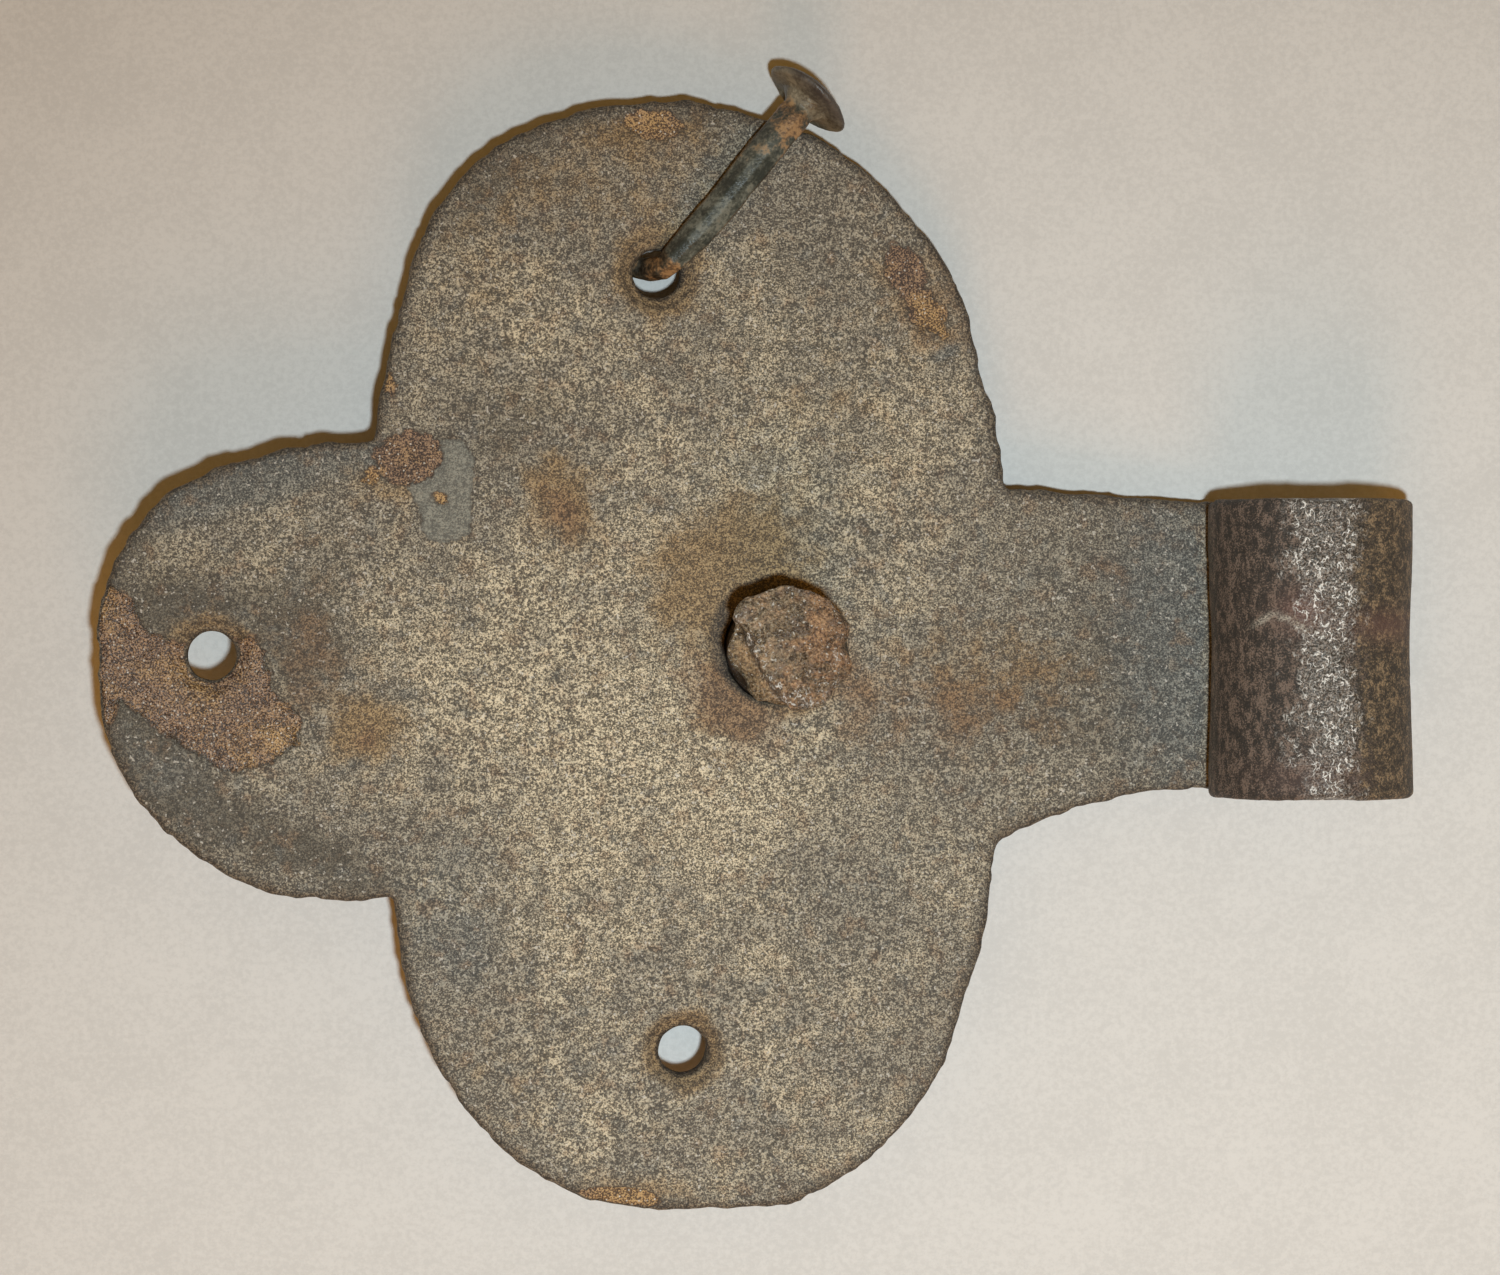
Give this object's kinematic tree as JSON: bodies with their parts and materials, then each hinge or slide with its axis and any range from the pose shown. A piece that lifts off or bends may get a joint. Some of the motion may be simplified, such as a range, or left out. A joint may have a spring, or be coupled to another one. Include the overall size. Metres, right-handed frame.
{
  "type": "toggle bolt latch",
  "caption": "Rusted wrought-iron latch plate with lobed outline and a rolled hinge eye, a battered headed bolt turning through its middle, and a bent forged nail hooked in a nail hole.",
  "frame": {"origin": "middle of the eye's bore, on its axis", "axes": "+X from the lobes to the eye, +Y along the eye's bore, +Z out of the plate's front, where the bolt's battered end stands"},
  "size_m": [0.1981, 0.1746, 0.0395],
  "materials": {
    "plate_iron": "weathered wrought iron, grey-brown with pale speckles and rust scabs",
    "bolt_iron": "battered wrought iron, brown rust",
    "nail_iron": "forged iron, blue-grey scale with orange rust"
  },
  "bodies": {
    "plate": {"latch_plate": "plate_iron"},
    "bolt": {"toggle_bolt": "bolt_iron"},
    "nail": {"clinched_nail": "nail_iron"}
  },
  "joints": [
    {"name": "bolt_turn", "type": "hinge", "parent": "plate", "child": "bolt", "pos_m": [-0.08, 0, -0.0154], "axis": [0, 0, 1], "continuous": true},
    {"name": "nail_swivel", "type": "hinge", "parent": "plate", "child": "nail", "pos_m": [-0.0985, 0.057, -0.0154], "axis": [0, 0, 1], "range_deg": [-4, 91]}
  ]
}
